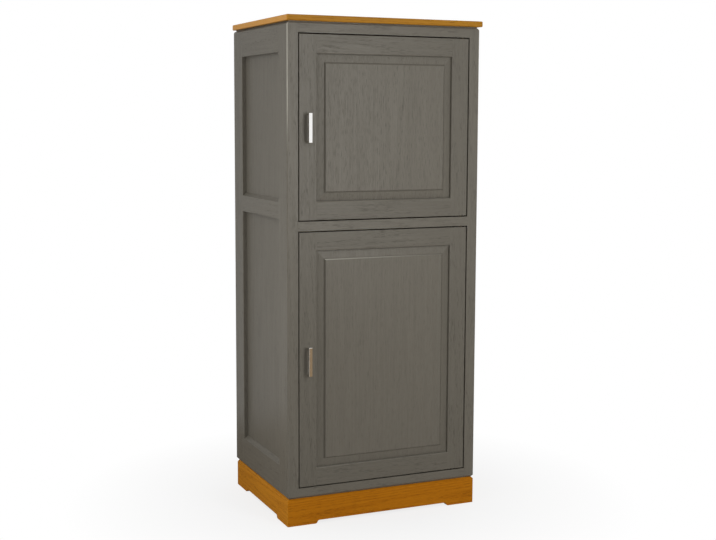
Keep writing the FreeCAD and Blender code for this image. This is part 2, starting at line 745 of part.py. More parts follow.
def door(name, z, pivots):
    """One framed door with its panel, handle, pivot leaves and strike plate."""
    inset = door_edge_chamfer
    face = front_rectangle(widen(door_x, -inset), front_y, widen(z, -inset))
    body = joined(
        taper(face, front_rectangle(door_x, front_y + inset, z)),
        block(door_x, (front_y + inset, door_back_y), z))
    y = (front_y, door_back_y)
    opening_x = widen(door_x, -door_member_width)
    opening_z = widen(z, -door_member_width)
    panel, groove = raised_panel(opening_x, opening_z)
    rounding = rounding_waste(body, opening_x, opening_z)
    parts[name + "_panel"] = panel

    mortises = []
    for end, rail_z in (("bottom", (z[0], opening_z[0])), ("top", (opening_z[1], z[1]))):
        wood, sockets = rail(
            opening_x, y, rail_z, "x", door_tenon_length, door_tenon_thickness, door_tenon_shoulder)
        parts[name + "_" + end + "_rail"] = wood.common(body).cut([groove, rounding])
        mortises += sockets

    handle_x = door_x[0] + handle_inset
    hole_heights = around(middle(z), handle_hole_spacing)
    hole_starts = [Vector(handle_x, door_back_y, height) for height in hole_heights]
    bolt_length = door_thickness + handle_thread_depth
    hole_radius = handle_screw_radius + handle_screw_clearance
    bolt_holes = [rod(start, BACKWARD * -1, hole_radius, door_thickness) for start in hole_starts]
    thread_radius = handle_screw_radius + running_clearance
    thread_length = bolt_length + handle_thread_spare
    threads = [rod(start, BACKWARD * -1, thread_radius, thread_length) for start in hole_starts]
    parts[name + "_handle"] = bow_handle(handle_x, middle(z)).cut(threads)
    bolts = []
    for start in hole_starts:
        head = rod(start, BACKWARD, handle_screw_head_radius, handle_screw_head_height)
        shaft = rod(start, BACKWARD * -1, handle_screw_radius, bolt_length)
        slot_x = around(start.x, screw_slot_length)
        slot_end = door_back_y + handle_screw_head_height
        slot_y = (slot_end - 2 * screw_slot_depth, slot_end)
        slot = block(slot_x, slot_y, around(start.z, screw_slot_width))
        bolts.append(joined(head, shaft).cut(slot))
    parts[name + "_handle_screws"] = Part.makeCompound(bolts)

    strike_z = (z[0] + strike_rise, z[0] + strike_rise + strike_height)
    strike_y = (door_back_y, door_back_y + strike_thickness)
    strike_head = Vector(catch_x, strike_y[1], middle(strike_z))
    strike_hole = screw_hole(strike_head, BACKWARD * -1, screw_length)
    strike = block(around(catch_x, strike_width), strike_y, strike_z)
    parts[name + "_strike_plate"] = strike.cut(strike_hole)
    screws = [screw(strike_head, BACKWARD * -1, screw_length)]
    screws += [one for leaf in pivots for one in leaf["door_screws"]]
    parts[name + "_screws"] = Part.makeCompound(screws)
    parts[name + "_pivot_leaves"] = Part.makeCompound([leaf["door_leaf"] for leaf in pivots])

    cuts = mortises + [groove, rounding]
    leaf_cuts = [cut for leaf in pivots for cut in leaf["door_cuts"]]
    hinge_stile = block((opening_x[1], door_x[1]), y, z).common(body)
    handle_stile = block((door_x[0], opening_x[0]), y, z).common(body)
    parts[name + "_hinge_stile"] = hinge_stile.cut(cuts + leaf_cuts)
    parts[name + "_handle_stile"] = handle_stile.cut(cuts + bolt_holes + [strike_hole])


def carcass_hardware():
    """Hinge leaves with their pins, magnetic catches and the small screws of both."""
    pivots = lower_door_pivots + upper_door_pivots
    catches = [lower_catch, upper_catch]
    parts["frame_pivots"] = Part.makeCompound([leaf["frame_leaf"] for leaf in pivots])
    parts["magnetic_catches"] = Part.makeCompound([one["housing"] for one in catches])
    screws = [one for leaf in pivots for one in leaf["frame_screws"]]
    screws += [one for each in catches for one in each["screws"]]
    parts["hardware_screws"] = Part.makeCompound(screws)


plinth()
front_frame()
side_and_back_frames()
fixed_boards()
shelves()
top()
carcass_hardware()
door("lower_door", lower_door_z, lower_door_pivots)
door("upper_door", upper_door_z, upper_door_pivots)

os.makedirs("parts", exist_ok=True)
for node, shape in parts.items():
    shape.exportStep(os.path.join("parts", node + ".step"))
    print(node, len(shape.Solids), "solid(s)", "valid" if shape.isValid() else "not valid")
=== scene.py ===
"""Finishes, stage and camera for a tall painted cupboard with two inset doors."""
import math
import random

import bpy
from bpy.props import FloatProperty, FloatVectorProperty, PointerProperty
from mathutils import Matrix, Vector


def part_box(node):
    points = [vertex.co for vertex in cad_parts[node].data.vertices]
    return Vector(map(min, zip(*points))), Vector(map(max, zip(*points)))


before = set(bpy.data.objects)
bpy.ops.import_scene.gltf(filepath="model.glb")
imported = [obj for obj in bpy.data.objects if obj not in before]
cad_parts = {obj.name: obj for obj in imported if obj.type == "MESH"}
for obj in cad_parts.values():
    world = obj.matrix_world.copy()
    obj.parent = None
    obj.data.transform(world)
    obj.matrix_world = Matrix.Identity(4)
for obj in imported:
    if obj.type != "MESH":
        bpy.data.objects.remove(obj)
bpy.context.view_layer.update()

bl_info = {
    "name": "Painted Cupboard",
    "version": (1, 0, 0),
    "blender": (4, 5, 0),
    "location": "3D View > Sidebar > Cupboard",
    "description": "Paints, stains and plates the pieces of a tall cupboard and sets its stage",
    "category": "Object",
}

AXES = "XYZ"
SIDES = ("left", "right")
DOORS = ("upper_door", "lower_door")
LEVELS = ("top", "middle", "bottom")

# Boards by the way their grain runs
CARCASS_BOARDS = {
    "Z": [f"front_{side}_stile" for side in SIDES]
    + [
        f"{side}_{piece}"
        for side in SIDES
        for piece in ("front_stile", "back_stile", "upper_panel", "lower_panel")
    ],
    "X": [f"front_{level}_rail" for level in LEVELS] + ["back_top_rail", "back_bottom_rail"],
    "Y": [f"{side}_{level}_rail" for side in SIDES for level in LEVELS],
}
DOOR_BOARDS = {
    "Z": [f"{door}_{piece}" for door in DOORS for piece in ("hinge_stile", "handle_stile", "panel")],
    "X": [f"{door}_{piece}" for door in DOORS for piece in ("top_rail", "bottom_rail")],
}
PLINTH_BOARDS = {
    "X": ["plinth_front", "plinth_back"],
    "Y": ["plinth_left", "plinth_right"],
    "Z": ["plinth_corner_blocks"],
}
INSIDE_BOARDS = {
    "X": ["floor_panel", "divider_panel", "roof_panel", "upper_shelf", "lower_shelf_high", "lower_shelf_low"],
    "Z": ["back_panel"],
}

# Pieces with a finish, painted shade, a painted highlight or a lamp's light of their own
CORNER_BOARDS = [f"front_{side}_stile" for side in SIDES] + [f"{side}_front_stile" for side in SIDES]
DOOR_PANELS = [f"{door}_panel" for door in DOORS]
LOWER_PANEL = "lower_door_panel"
HANDLES = [f"{door}_handle" for door in DOORS]
STEEL_PIECES = ["top_board_screws", "hardware_screws", "shelf_pins"] + [
    f"{door}_{piece}" for door in DOORS for piece in ("handle_screws", "strike_plate", "screws")
]
BRASS_PIECES = ["frame_pivots"] + [f"{door}_pivot_leaves" for door in DOORS]

# Lamps, by the first word of their values' names
LAMPS = ("key", "side", "high", "far")

# Plain colours
WHITE = (1.0, 1.0, 1.0, 1.0)
BLACK = (0.0, 0.0, 0.0, 1.0)

# Each board's own share of the log's values
EITHER_WAY = (-1, 1)
PITH_SHARES = (0.7, 1.3)
OFFSET_SHARES = (-0.35, 0.35)
WIDE_LEAN_SHARES = (0.4, 1.2)
THIN_LEAN_SHARES = (-0.4, 0.4)

# Values of a pattern that become 0 and 1
STREAK_VALUES = (0.25, 0.75)
PORE_VALUES = (0.53, 0.62)
EARLY_WOOD_VALUES = (0.3, 0.9)
UNEVEN_VALUES = (0.3, 0.7)

# How far a face is turned where a finish, painted shade or painted highlight starts to show, and where it
# shows in full
CORNER_TURN = (0.1, 0.4)
BEVEL_TURN = (0.03, 0.09)
SHOULDER_TURN = (0.3, 0.6)
LIT_END_TURN = (0.5, 0.9)

# Scale of a wave pattern whose rings lie a metre apart
METRE_RING_SCALE = math.pi / 10

# How the patterns of oak are mixed
LATE_WOOD_PORES = 0.35
RING_RELIEF = 0.25
RING_SHARPNESS = 2.0
RING_FIGURE = 0.5
STREAK_FIGURE = 0.6

# Fittings, floor and warm card
SCRATCH_STRETCH = 20.0
BLOOMS_PER_METRE = 70.0
FLECKS_PER_METRE = 400.0
METAL_ROUGHNESS_SHARE = 0.25
DULL_TONE = 0.85
FLOOR_CORNERS = 96
MOTTLES_PER_METRE = 6.0
MOTTLE_TONE = 0.97
WEAVES_PER_METRE = 9.0


def colour_property(name, description, default):
    """A linear colour that shows as a swatch."""
    return FloatVectorProperty(
        name=name, description=description, default=default, subtype="COLOR", size=3, min=0.0, max=1.0)


def share_property(name, description, default):
    """A share from 0 to 1."""
    return FloatProperty(
        name=name, description=description, default=default, subtype="FACTOR", min=0.0, max=1.0)


def number_property(name, description, default):
    """A plain number."""
    return FloatProperty(name=name, description=description, default=default)


def power_property(name, description, default):
    """A lamp's power in watts."""
    return FloatProperty(name=name, description=description, default=default, unit="POWER")


def length_property(name, description, default):
    """A length in metres."""
    return FloatProperty(name=name, description=description, default=default, unit="LENGTH", precision=5)


def place_property(name, description, default):
    """A point in the cupboard's own frame, in metres."""
    return FloatVectorProperty(
        name=name, description=description, default=default, subtype="TRANSLATION", unit="LENGTH", size=3)


def angle_property(name, description, default_degrees):
    """An angle, given in degrees and kept in radians."""
    return FloatProperty(
        name=name, description=description, default=math.radians(default_degrees), subtype="ANGLE")


class OakGrain(bpy.types.PropertyGroup):
    """The figure that every oak board shares."""

    streak_width: length_property("Streak width", "Width of the broad tone streaks", 0.008)
    streak_stretch: number_property("Streak stretch", "Length of a streak over its width", 38.0)
    ring_spacing: length_property("Ring spacing", "Distance between two growth rings", 0.0042)
    ring_wobble: number_property("Ring wobble", "How far the rings wander from true circles", 5.0)
    pith_distance: length_property("Pith distance", "How far a board lies from the tree's heart", 0.11)
    log_lean: angle_property("Log lean", "Angle between a board's length and the tree's heart", 1.1)
    pore_width: length_property("Pore width", "Width of the open pores", 0.0018)
    pore_stretch: number_property("Pore stretch", "Length of a pore over its width", 14.0)


class PaintLook(bpy.types.PropertyGroup):
    """Taupe satin paint with the oak grain showing through."""

    colour: colour_property("Paint", "Colour of the flat paint film", (0.163, 0.149, 0.1215))
    grain_colour: colour_property("Grain", "Colour where the grain shows through", (0.120, 0.109, 0.088))
    grain_show: share_property("Grain shows", "How much of the grain colour shows", 0.55)
    pore_colour: colour_property("Pores", "Colour of paint that sank into the pores", (0.100, 0.091, 0.073))
    pore_show: share_property("Pores show", "How much the pores darken the paint", 0.8)
    quiet_pore_show: share_property("Quiet pores", "How much they darken the lower door's panel", 0.45)
    roughness: share_property("Roughness", "Mean roughness of the satin paint", 0.34)
    roughness_spread: share_property("Roughness spread", "Change of roughness along the grain", 0.08)
    specular: share_property("Specular", "Specular level of the paint on the front and back", 0.15)
    side_specular: share_property("Side specular", "Specular level of the paint on the sides", 0.03)
    relief: length_property("Relief", "Depth of the grain under the paint", 0.00022)
    front_frame_tone: number_property("Front frame tone", "Brightness of the front frame's paint", 1.02)
    door_frame_tone: number_property("Door frame tone", "Brightness of the door frames' paint", 0.94)
    door_panel_tone: number_property("Door panel tone", "Brightness of the door panels' paint", 1.03)
    # The groove colour and its two shares are painted shade: they darken the sloped faces round a door
    # panel's field, where shade falls.
    painted_shade: colour_property("Glaze", "Colour of the dark glaze in the panels' grooves", (0.030, 0.026, 0.018))
    bevel_shade: share_property("Bevel glaze", "How much glaze shows on upright bevels", 0.09)
    shoulder_shade: share_property("Shoulder glaze", "How much glaze shows on upright shoulders", 0.25)
    # These values set painted highlights: a lighter colour on the upright front corners, fading downward, and
    # on the lower door panel's top edge, fading to the right.
    painted_highlight_colour: colour_property("Worn paint", "Colour of paint that is rubbed thin", (0.420, 0.400, 0.345))
    corner_highlight_show: share_property("Wear shows", "How much worn colour shows on the corners", 1.0)
    corner_highlight_start: length_property("Wear start", "Height at which the wear on the corners starts", 1.33)
    corner_highlight_full: length_property("Wear full", "Height from which the corners show it in full", 1.52)
    edge_highlight_depth: length_property("Rubbed depth", "How far behind a field the rubbing fades out", 0.0045)
    edge_highlight_show: share_property("Rubbing shows", "How much worn colour shows on the edge", 1.0)


class ClearOak:
    """What every clear oak finish has beside its colours."""

    figure_show: share_property("Figure shows", "How strongly the rings and streaks show", 0.55)
    pore_show: share_property("Pores show", "How strongly the pores show", 0.45)
    roughness: share_property("Roughness", "Mean roughness of the varnish", 0.42)
    roughness_spread: share_property("Roughness spread", "Change of roughness along the grain", 0.10)
    relief: length_property("Relief", "Depth of the pores", 0.00012)


class TopBoardLook(ClearOak, bpy.types.PropertyGroup):
    """Honey stain under satin varnish on the top board."""

    light: colour_property("Light wood", "Colour of the wood between the rings", (0.446, 0.207, 0.021))
    dark: colour_property("Dark wood", "Colour of the growth rings", (0.302, 0.118, 0.010))
    pore: colour_property("Pores", "Colour of the filled pores", (0.130, 0.048, 0.006))
    # The end colour is painted light: it makes the top board's ends lighter, as if lit from the side.
    end: colour_property("Ends", "Colour of the end grain", (0.660, 0.312, 0.056))
    lit_end_show: share_property("Ends show", "How much of the end colour shows on the ends", 0.8)
    specular: share_property("Specular", "Specular level of the varnish", 0.06)


class PlinthLook(ClearOak, bpy.types.PropertyGroup):
    """Deeper honey stain on the plinth."""

    light: colour_property("Light wood", "Colour of the wood between the rings", (0.484, 0.175, 0.0072))
    dark: colour_property("Dark wood", "Colour of the growth rings", (0.334, 0.100, 0.003))
    pore: colour_property("Pores", "Colour of the filled pores", (0.140, 0.040, 0.002))
    specular: share_property("Specular", "Specular level of the varnish", 0.03)


class LitPlinthSideLook(ClearOak, bpy.types.PropertyGroup):
    """Honey stain made paler on the plinth's sides, as painted light."""

    light: colour_property("Light wood", "Colour of the wood between the rings", (0.592, 0.242, 0.019))
    dark: colour_property("Dark wood", "Colour of the growth rings", (0.408, 0.140, 0.011))
    pore: colour_property("Pores", "Colour of the filled pores", (0.180, 0.055, 0.003))
    specular: share_property("Specular", "Specular level of the varnish", 0.01)


class InsideLook(ClearOak, bpy.types.PropertyGroup):
    """Varnished oak veneer on the inside boards."""

    light: colour_property("Light wood", "Colour of the veneer between the rings", (0.480, 0.285, 0.120))
    dark: colour_property("Dark wood", "Colour of the growth rings", (0.350, 0.180, 0.062))
    pore: colour_property("Pores", "Colour of the pores", (0.190, 0.088, 0.028))
    specular: share_property("Specular", "Specular level of the varnish", 0.3)


class FittingsLook(bpy.types.PropertyGroup):
    """Metals and plastic of the handles, pivots, screws and catches."""

    chrome: colour_property("Chrome", "Reflection colour of the handles", (0.96, 0.95, 0.93))
    chrome_roughness: share_property("Chrome roughness", "Mean roughness of the handles", 0.08)
    steel: colour_property("Zinc steel", "Reflection colour of screws, pins and strikes", (0.55, 0.56, 0.57))
    steel_roughness: share_property("Steel roughness", "Mean roughness of the zinc plating", 0.34)
    brass: colour_property("Brass", "Reflection colour of the leaves' dark patina", (0.080, 0.055, 0.030))
    brass_roughness: share_property("Brass roughness", "Mean roughness of the brass", 0.60)
    scratch_width: length_property("Scratch width", "Width of the fine rubbing marks", 0.0006)
    scratch_depth: length_property("Scratch depth", "Depth of the fine rubbing marks", 0.00001)
    plastic: colour_property("Plastic", "Colour of the catch housings", (0.060, 0.034, 0.019))
    plastic_fleck: colour_property("Fleck", "Lighter fleck in the plastic", (0.085, 0.050, 0.030))
    plastic_roughness: share_property("Plastic roughness", "Mean roughness of the plastic", 0.5)
    plastic_spread: share_property("Plastic spread", "Change of roughness over the plastic", 0.16)
    plastic_pebble: length_property("Pebble", "Size of the moulded pebble", 0.0008)
    plastic_relief: length_property("Pebble depth", "Depth of the moulded pebble", 0.00005)


class StageLook(bpy.types.PropertyGroup):
    """Pale floor, white surround and soft lamps."""

    floor_radius: length_property("Floor radius", "Reach of the round floor", 14.0)
    floor_colour: colour_property("Floor", "Colour of the floor", (0.80, 0.80, 0.80))
    shadow_keep: share_property("Shadow kept", "Share of the floor's own shading near the cupboard", 0.2)
    shadow_inner: length_property("Shadow inner reach", "Distance up to which shading is kept", 0.35)
    shadow_outer: length_property("Shadow outer reach", "Distance beyond which the floor is white", 1.1)
    surround: number_property("Surround", "Strength of the even fill light", 0.43)
    key_place: place_property("Key place", "Middle of the key softbox", (0.60, -2.60, 1.55))
    key_aim: place_property("Key aim", "Point that the key faces", (-0.1, -0.28, 1.30))
    key_width: length_property("Key width", "Width of the tall key softbox", 0.7)
    key_height: length_property("Key height", "Height of the tall key softbox", 1.9)
    key_power: power_property("Key power", "Power of the key", 27.5)
    side_place: place_property("Side place", "Middle of the side softbox", (-1.20, -0.38, 1.16))
    side_aim: place_property("Side aim", "Point that the side light faces", (-0.38, -0.26, 1.30))
    side_width: length_property("Side width", "Width of the side softbox", 0.35)
    side_height: length_property("Side height", "Height of the side softbox", 2.0)
    side_power: power_property("Side power", "Power of the side light", 4.6)
    high_place: place_property("High place", "Middle of the high softbox", (-3.2, 0.3, 5.6))
    high_aim: place_property("High aim", "Point that the high softbox faces", (-0.38, 0.0, 0.9))
    high_width: length_property("High width", "Width of the high softbox", 5.0)
    high_height: length_property("High height", "Height of the high softbox", 5.0)
    high_power: power_property("High power", "Power of the high softbox", 46.0)
    far_place: place_property("Far place", "Middle of the far softbox", (3.0, 2.2, 2.4))
    far_aim: place_property("Far aim", "Point that the far softbox faces", (0.15, 0.1, 0.95))
    far_width: length_property("Far width", "Width of the far softbox", 3.0)
    far_height: length_property("Far height", "Height of the far softbox", 3.0)
    far_power: power_property("Far power", "Power of the far softbox", 75.0)
    card_place: place_property("Card place", "Middle of the warm card on the floor", (-2.0, -5.8, 0.002))
    card_width: length_property("Card width", "Width of the warm card", 13.0)
    card_length: length_property("Card length", "Length of the warm card", 14.0)
    card_colour: colour_property("Card", "Colour of the warm card's right part", (0.275, 0.198, 0.122))
    card_dark: colour_property("Dark card", "Colour of the warm card's left part", (0.110, 0.062, 0.022))
    card_dark_end: length_property("Dark end", "Where the dark part ends, right of the middle", 0.5)
    card_warm_start: length_property("Warm start", "Where the warm part starts, right of the middle", 3.3)


class CameraLook(bpy.types.PropertyGroup):
    """Where the camera stands and how it is turned."""

    place: place_property("Place", "Where the camera stands", (-1.8605, -4.2698, 1.4572))
    heading: angle_property("Heading", "Turn to the right from straight back", 23.711)
    tilt: angle_property("Tilt", "Tilt below the horizon", 6.389)
    roll: angle_property("Roll", "Turn about the view line", 0.231)
    lens: FloatProperty(name="Lens", description="Focal length", default=61.924, unit="CAMERA")
    rise: number_property("Rise", "Vertical lens shift", -0.022)


# Shader building blocks
def socket(sockets, key):
    """The socket with this identifier or name."""
    for found in sockets:
        if found.identifier == key:
            return found
    return sockets[key]


def node(tree, kind, inputs=None, **settings):
    """Adds a node, sets its properties, and links or sets its inputs."""
    made = tree.nodes.new(kind)
    for key, value in settings.items():
        setattr(made, key, value)
    feed(tree, made, inputs or {})
    return made


def feed(tree, made, inputs):
    """Links each given socket to an input, or sets the input's own value."""
    for key, value in inputs.items():
        target = socket(made.inputs, key)
        if isinstance(value, bpy.types.NodeSocket):
            tree.links.new(value, target)
        else:
            target.default_value = value


def maths(tree, operation, first, second=0.0, clamp=False):
    """The result of a Math node."""
    made = node(
        tree, "ShaderNodeMath", {"Value": first, "Value_001": second}, operation=operation, use_clamp=clamp)
    return made.outputs["Value"]


def spread(tree, value, low, high, to_low=0.0, to_high=1.0):
    """The value stretched from one range to another and held inside it."""
    inputs = {"Value": value, "From Min": low, "From Max": high, "To Min": to_low, "To Max": to_high}
    return node(tree, "ShaderNodeMapRange", inputs).outputs["Result"]


def blend_colours(tree, share, first, second):
    """The first colour with a share of the second."""
    inputs = {"Factor_Float": share, "A_Color": first, "B_Color": second}
    made = node(tree, "ShaderNodeMix", inputs, data_type="RGBA")
    return socket(made.outputs, "Result_Color")


def noise(tree, vector, lumps_per_metre, detail, roughness=0.5):
    """The values of a noise pattern."""
    inputs = {"Vector": vector, "Scale": lumps_per_metre, "Detail": detail, "Roughness": roughness}
    return node(tree, "ShaderNodeTexNoise", inputs).outputs["Fac"]


def own_place(tree):
    """The point that is shaded, in its object's own frame."""
    return node(tree, "ShaderNodeTexCoord").outputs["Object"]


def opaque(colour):
    """A colour property as the four numbers that a colour socket takes."""
    return (*colour, 1.0)


def toned(colour, tone):
    """A colour property made brighter or darker, as the four numbers that a colour socket takes."""
    return opaque(part * tone for part in colour)


def new_finish(name):
    """A new material, its node tree and its Principled shader."""
    material = bpy.data.materials.new(name)
    material.use_nodes = True
    tree = material.node_tree
    return material, tree, tree.nodes["Principled BSDF"]


def dress(name, material):
    """Gives a CAD node its finish."""
    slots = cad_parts[name].data.materials
    slots.clear()
    slots.append(material)


def place_parts(tree):
    """How far the shaded point lies to the right, to the back and up in its object's own frame."""
    return node(tree, "ShaderNodeSeparateXYZ", {"Vector": own_place(tree)}).outputs


def facing(tree):
    """How far a surface faces right, back and up, each from -1 to 1."""
    normal = node(tree, "ShaderNodeTexCoord").outputs["Normal"]
    return node(tree, "ShaderNodeSeparateXYZ", {"Vector": normal}).outputs


# Oak
def board_log(name, along):
    """Where the tree's heart lies for one board, and how far the board leans from it."""
    grain = bpy.context.scene.cupboard_grain
    draw = random.Random(name)
    low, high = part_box(name)
    across = [axis for axis in range(len(AXES)) if AXES[axis] != along]
    thin, wide = sorted(across, key=lambda axis: high[axis] - low[axis])
    heart = (low + high) / 2
    heart[thin] += draw.choice(EITHER_WAY) * grain.pith_distance * draw.uniform(*PITH_SHARES)
    heart[wide] += draw.uniform(*OFFSET_SHARES) * (high[wide] - low[wide])
    lean = [0.0, 0.0, 0.0]
    lean[wide] = draw.choice(EITHER_WAY) * grain.log_lean * draw.uniform(*WIDE_LEAN_SHARES)
    lean[thin] = grain.log_lean * draw.uniform(*THIN_LEAN_SHARES)
    return heart, lean


def stretched(tree, vector, along, times):
    """The vector squeezed along the grain, which stretches what is drawn with it."""
    squeeze = [1.0, 1.0, 1.0]
    squeeze[AXES.index(along)] = 1.0 / times
    inputs = {"Vector": vector, "Vector_001": squeeze}
    return node(tree, "ShaderNodeVectorMath", inputs, operation="MULTIPLY").outputs["Vector"]


def oak_figure(tree, name, along):
    """Streaks, growth rings and open pores of one board, each a value from 0 to 1."""
    grain = bpy.context.scene.cupboard_grain
    heart, lean = board_log(name, along)
    from_heart = node(
        tree, "ShaderNodeVectorMath", {"Vector": own_place(tree), "Vector_001": heart}, operation="SUBTRACT")
    log = node(
        tree, "ShaderNodeVectorRotate", {"Vector": from_heart.outputs["Vector"], "Rotation": lean},
        rotation_type="EULER_XYZ").outputs["Vector"]

    long_log = stretched(tree, log, along, grain.streak_stretch)
    streaks = noise(tree, long_log, 1.0 / grain.streak_width, detail=4.0, roughness=0.6)
    ring_inputs = {
        "Vector": long_log,
        "Scale": METRE_RING_SCALE / grain.ring_spacing,
        "Distortion": grain.ring_wobble,
        "Detail": 2.0,
        "Detail Scale": 0.25,
        "Detail Roughness": 0.55,
    }
    rings = node(
        tree, "ShaderNodeTexWave", ring_inputs,
        wave_type="RINGS", rings_direction=along, wave_profile="SIN").outputs["Fac"]
    pore_log = stretched(tree, log, along, grain.pore_stretch)
    pores = spread(tree, noise(tree, pore_log, 1.0 / grain.pore_width, detail=2.0), *PORE_VALUES)
    early_wood = spread(tree, rings, *EARLY_WOOD_VALUES, LATE_WOOD_PORES, 1.0)
    return {
        "streaks": spread(tree, streaks, *STREAK_VALUES),
        "rings": rings,
        "pores": maths(tree, "MULTIPLY", pores, early_wood),
    }


def oak_surface(tree, shader, figure, look):
    """Roughness that changes along the grain, and the relief of rings and pores."""
    half = look.roughness_spread / 2
    roughness = spread(
        tree, figure["streaks"], 0.0, 1.0, look.roughness - half, look.roughness + half)
    hollow = maths(tree, "ADD", maths(tree, "MULTIPLY", figure["rings"], RING_RELIEF), figure["pores"])
    bump = node(
        tree, "ShaderNodeBump", {"Height": hollow, "Distance": look.relief, "Strength": 1.0}, invert=True)
    feed(tree, shader, {"Roughness": roughness, "Normal": bump.outputs["Normal"]})


def board_tone(name, look):
    """Brightness of one board's paint over that of the plain paint."""
    if name.startswith("front_"):
        return look.front_frame_tone
    if name.startswith(DOORS):
        return look.door_panel_tone if name in DOOR_PANELS else look.door_frame_tone
    return 1.0


def painted_groove_shade(tree, look):
    """How much painted shade darkens the upright bevels and shoulders round a panel's field."""
    sideways = maths(tree, "ABSOLUTE", facing(tree)["X"])
    bevels = spread(tree, sideways, *BEVEL_TURN, 0.0, look.bevel_shade)
    shoulders = spread(tree, sideways, *SHOULDER_TURN, 0.0, look.shoulder_shade)
    return maths(tree, "MAXIMUM", bevels, shoulders)


def painted_corner_highlight(tree, look):
    """A painted highlight on an upright front corner, which fades downward."""
    faces = facing(tree)
    sideways = maths(tree, "ABSOLUTE", faces["X"])
    forward = maths(tree, "MULTIPLY", faces["Y"], -1.0)
    corner = spread(tree, maths(tree, "MULTIPLY", sideways, forward), *CORNER_TURN)
    painted_highlight = spread(tree, place_parts(tree)["Z"], look.corner_highlight_start, look.corner_highlight_full, 0.0, look.corner_highlight_show)
    return maths(tree, "MULTIPLY", corner, painted_highlight)


def painted_edge_highlight(tree, name, look):
    """A painted highlight on the top edge of a panel's field, which fades to the right."""
    low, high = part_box(name)
    place = place_parts(tree)
    upward = spread(tree, facing(tree)["Z"], *SHOULDER_TURN)
    edge = spread(tree, place["Y"], low.y + look.edge_highlight_depth / 2, low.y + look.edge_highlight_depth, 1.0, 0.0)
    painted_highlight = spread(tree, place["X"], low.x, high.x, look.edge_highlight_show, 0.0)
    return maths(tree, "MULTIPLY", maths(tree, "MULTIPLY", upward, edge), painted_highlight)


def painted_oak(name, along, look):
    """Satin paint over one oak board."""
    tone = board_tone(name, look)
    material, tree, shader = new_finish("painted_" + name)
    figure = oak_figure(tree, name, along)
    streaks = maths(tree, "MULTIPLY", figure["streaks"], look.grain_show)
    film = blend_colours(tree, streaks, toned(look.colour, tone), toned(look.grain_colour, tone))
    pore_show = look.quiet_pore_show if name == LOWER_PANEL else look.pore_show
    pores = maths(tree, "MULTIPLY", figure["pores"], pore_show)
    colour = blend_colours(tree, pores, film, toned(look.pore_colour, tone))
    # Painted shade darkens the upright grooves round the field.
    if name in DOOR_PANELS:
        colour = blend_colours(tree, painted_groove_shade(tree, look), colour, opaque(look.painted_shade))
    # Painted highlight on the upright front corners.
    if name in CORNER_BOARDS:
        colour = blend_colours(tree, painted_corner_highlight(tree, look), colour, opaque(look.painted_highlight_colour))
    # Painted highlight on the top edge of the lower panel's field.
    if name == LOWER_PANEL:
        colour = blend_colours(tree, painted_edge_highlight(tree, name, look), colour, opaque(look.painted_highlight_colour))
    specular = look.side_specular if name.startswith(SIDES) else look.specular
    feed(tree, shader, {"Base Color": colour, "Specular IOR Level": specular})
    oak_surface(tree, shader, figure, look)
    return material


def clear_oak(name, along, look, finish):
    """Stained or varnished oak with its figure in full view."""
    material, tree, shader = new_finish(finish + "_" + name)
    figure = oak_figure(tree, name, along)
    lines = maths(tree, "POWER", figure["rings"], RING_SHARPNESS)
    lines = maths(tree, "MULTIPLY", lines, RING_FIGURE)
    streaks = maths(tree, "MULTIPLY", figure["streaks"], STREAK_FIGURE)
    darkness = maths(tree, "MULTIPLY", maths(tree, "ADD", lines, streaks), look.figure_show, clamp=True)
    wood = blend_colours(tree, darkness, opaque(look.light), opaque(look.dark))
    pores = maths(tree, "MULTIPLY", figure["pores"], look.pore_show)
    feed(tree, shader, {
        "Base Color": blend_colours(tree, pores, wood, opaque(look.pore)),
        "Specular IOR Level": look.specular,
    })
    oak_surface(tree, shader, figure, look)
    return material


def paint_lit_ends(board, look):
    """Paints the ends of a board that lies along X a lighter colour, as painted light."""
    tree = board.node_tree
    base = tree.nodes["Principled BSDF"].inputs["Base Color"]
    sideways = maths(tree, "ABSOLUTE", facing(tree)["X"])
    ends = spread(tree, sideways, *LIT_END_TURN, 0.0, look.lit_end_show)
    tree.links.new(blend_colours(tree, ends, base.links[0].from_socket, opaque(look.end)), base)


# Metal and plastic
def rubbed_metal(finish, colour, roughness):
    """Plated metal with fine rubbing marks."""
    look = bpy.context.scene.cupboard_fittings
    material, tree, shader = new_finish(finish)
    place = own_place(tree)
    scratches = stretched(tree, place, "Z", SCRATCH_STRETCH)
    marks = noise(tree, scratches, 1.0 / look.scratch_width, detail=3.0)
    bloom = noise(tree, place, BLOOMS_PER_METRE, detail=2.0)
    uneven = maths(tree, "MULTIPLY", maths(tree, "ADD", marks, bloom), 0.5)
    bump = node(
        tree, "ShaderNodeBump", {"Height": marks, "Distance": look.scratch_depth, "Strength": 0.4})
    smoothest = (1.0 - METAL_ROUGHNESS_SHARE) * roughness
    roughest = (1.0 + METAL_ROUGHNESS_SHARE) * roughness
    feed(tree, shader, {
        "Base Color": blend_colours(tree, uneven, opaque(colour), toned(colour, DULL_TONE)),
        "Metallic": 1.0,
        "Roughness": spread(tree, uneven, *UNEVEN_VALUES, smoothest, roughest),
        "Normal": bump.outputs["Normal"],
    })
    return material


